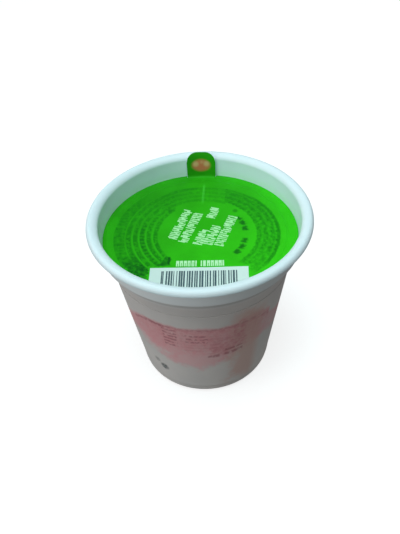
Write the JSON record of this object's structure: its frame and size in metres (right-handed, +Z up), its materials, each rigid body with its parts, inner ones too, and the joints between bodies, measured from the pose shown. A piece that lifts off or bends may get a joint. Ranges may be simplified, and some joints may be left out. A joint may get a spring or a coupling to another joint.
{
  "type": "gelato cup",
  "caption": "Tapered round gelato cup with a flared collar and rolled lip, closed by a recessed printed peel-off seal with an upright pull tab.",
  "frame": {"origin": "centre of the plane that the foot rests on, below the middle of the lip", "axes": "+Z up along the cup's axis, +Y towards the pull tab, +X to the right with the tab at the back"},
  "size_m": [0.08, 0.08, 0.0727],
  "materials": {
    "cup_plastic": "satin white moulded plastic, printed on the side with fields of pink and fine marks",
    "seal_film": "satin printed sealing film, green with a pale panel and dark and pale marks"
  },
  "bodies": {
    "root": {"cup": "cup_plastic", "seal": "seal_film"}
  },
  "joints": []
}
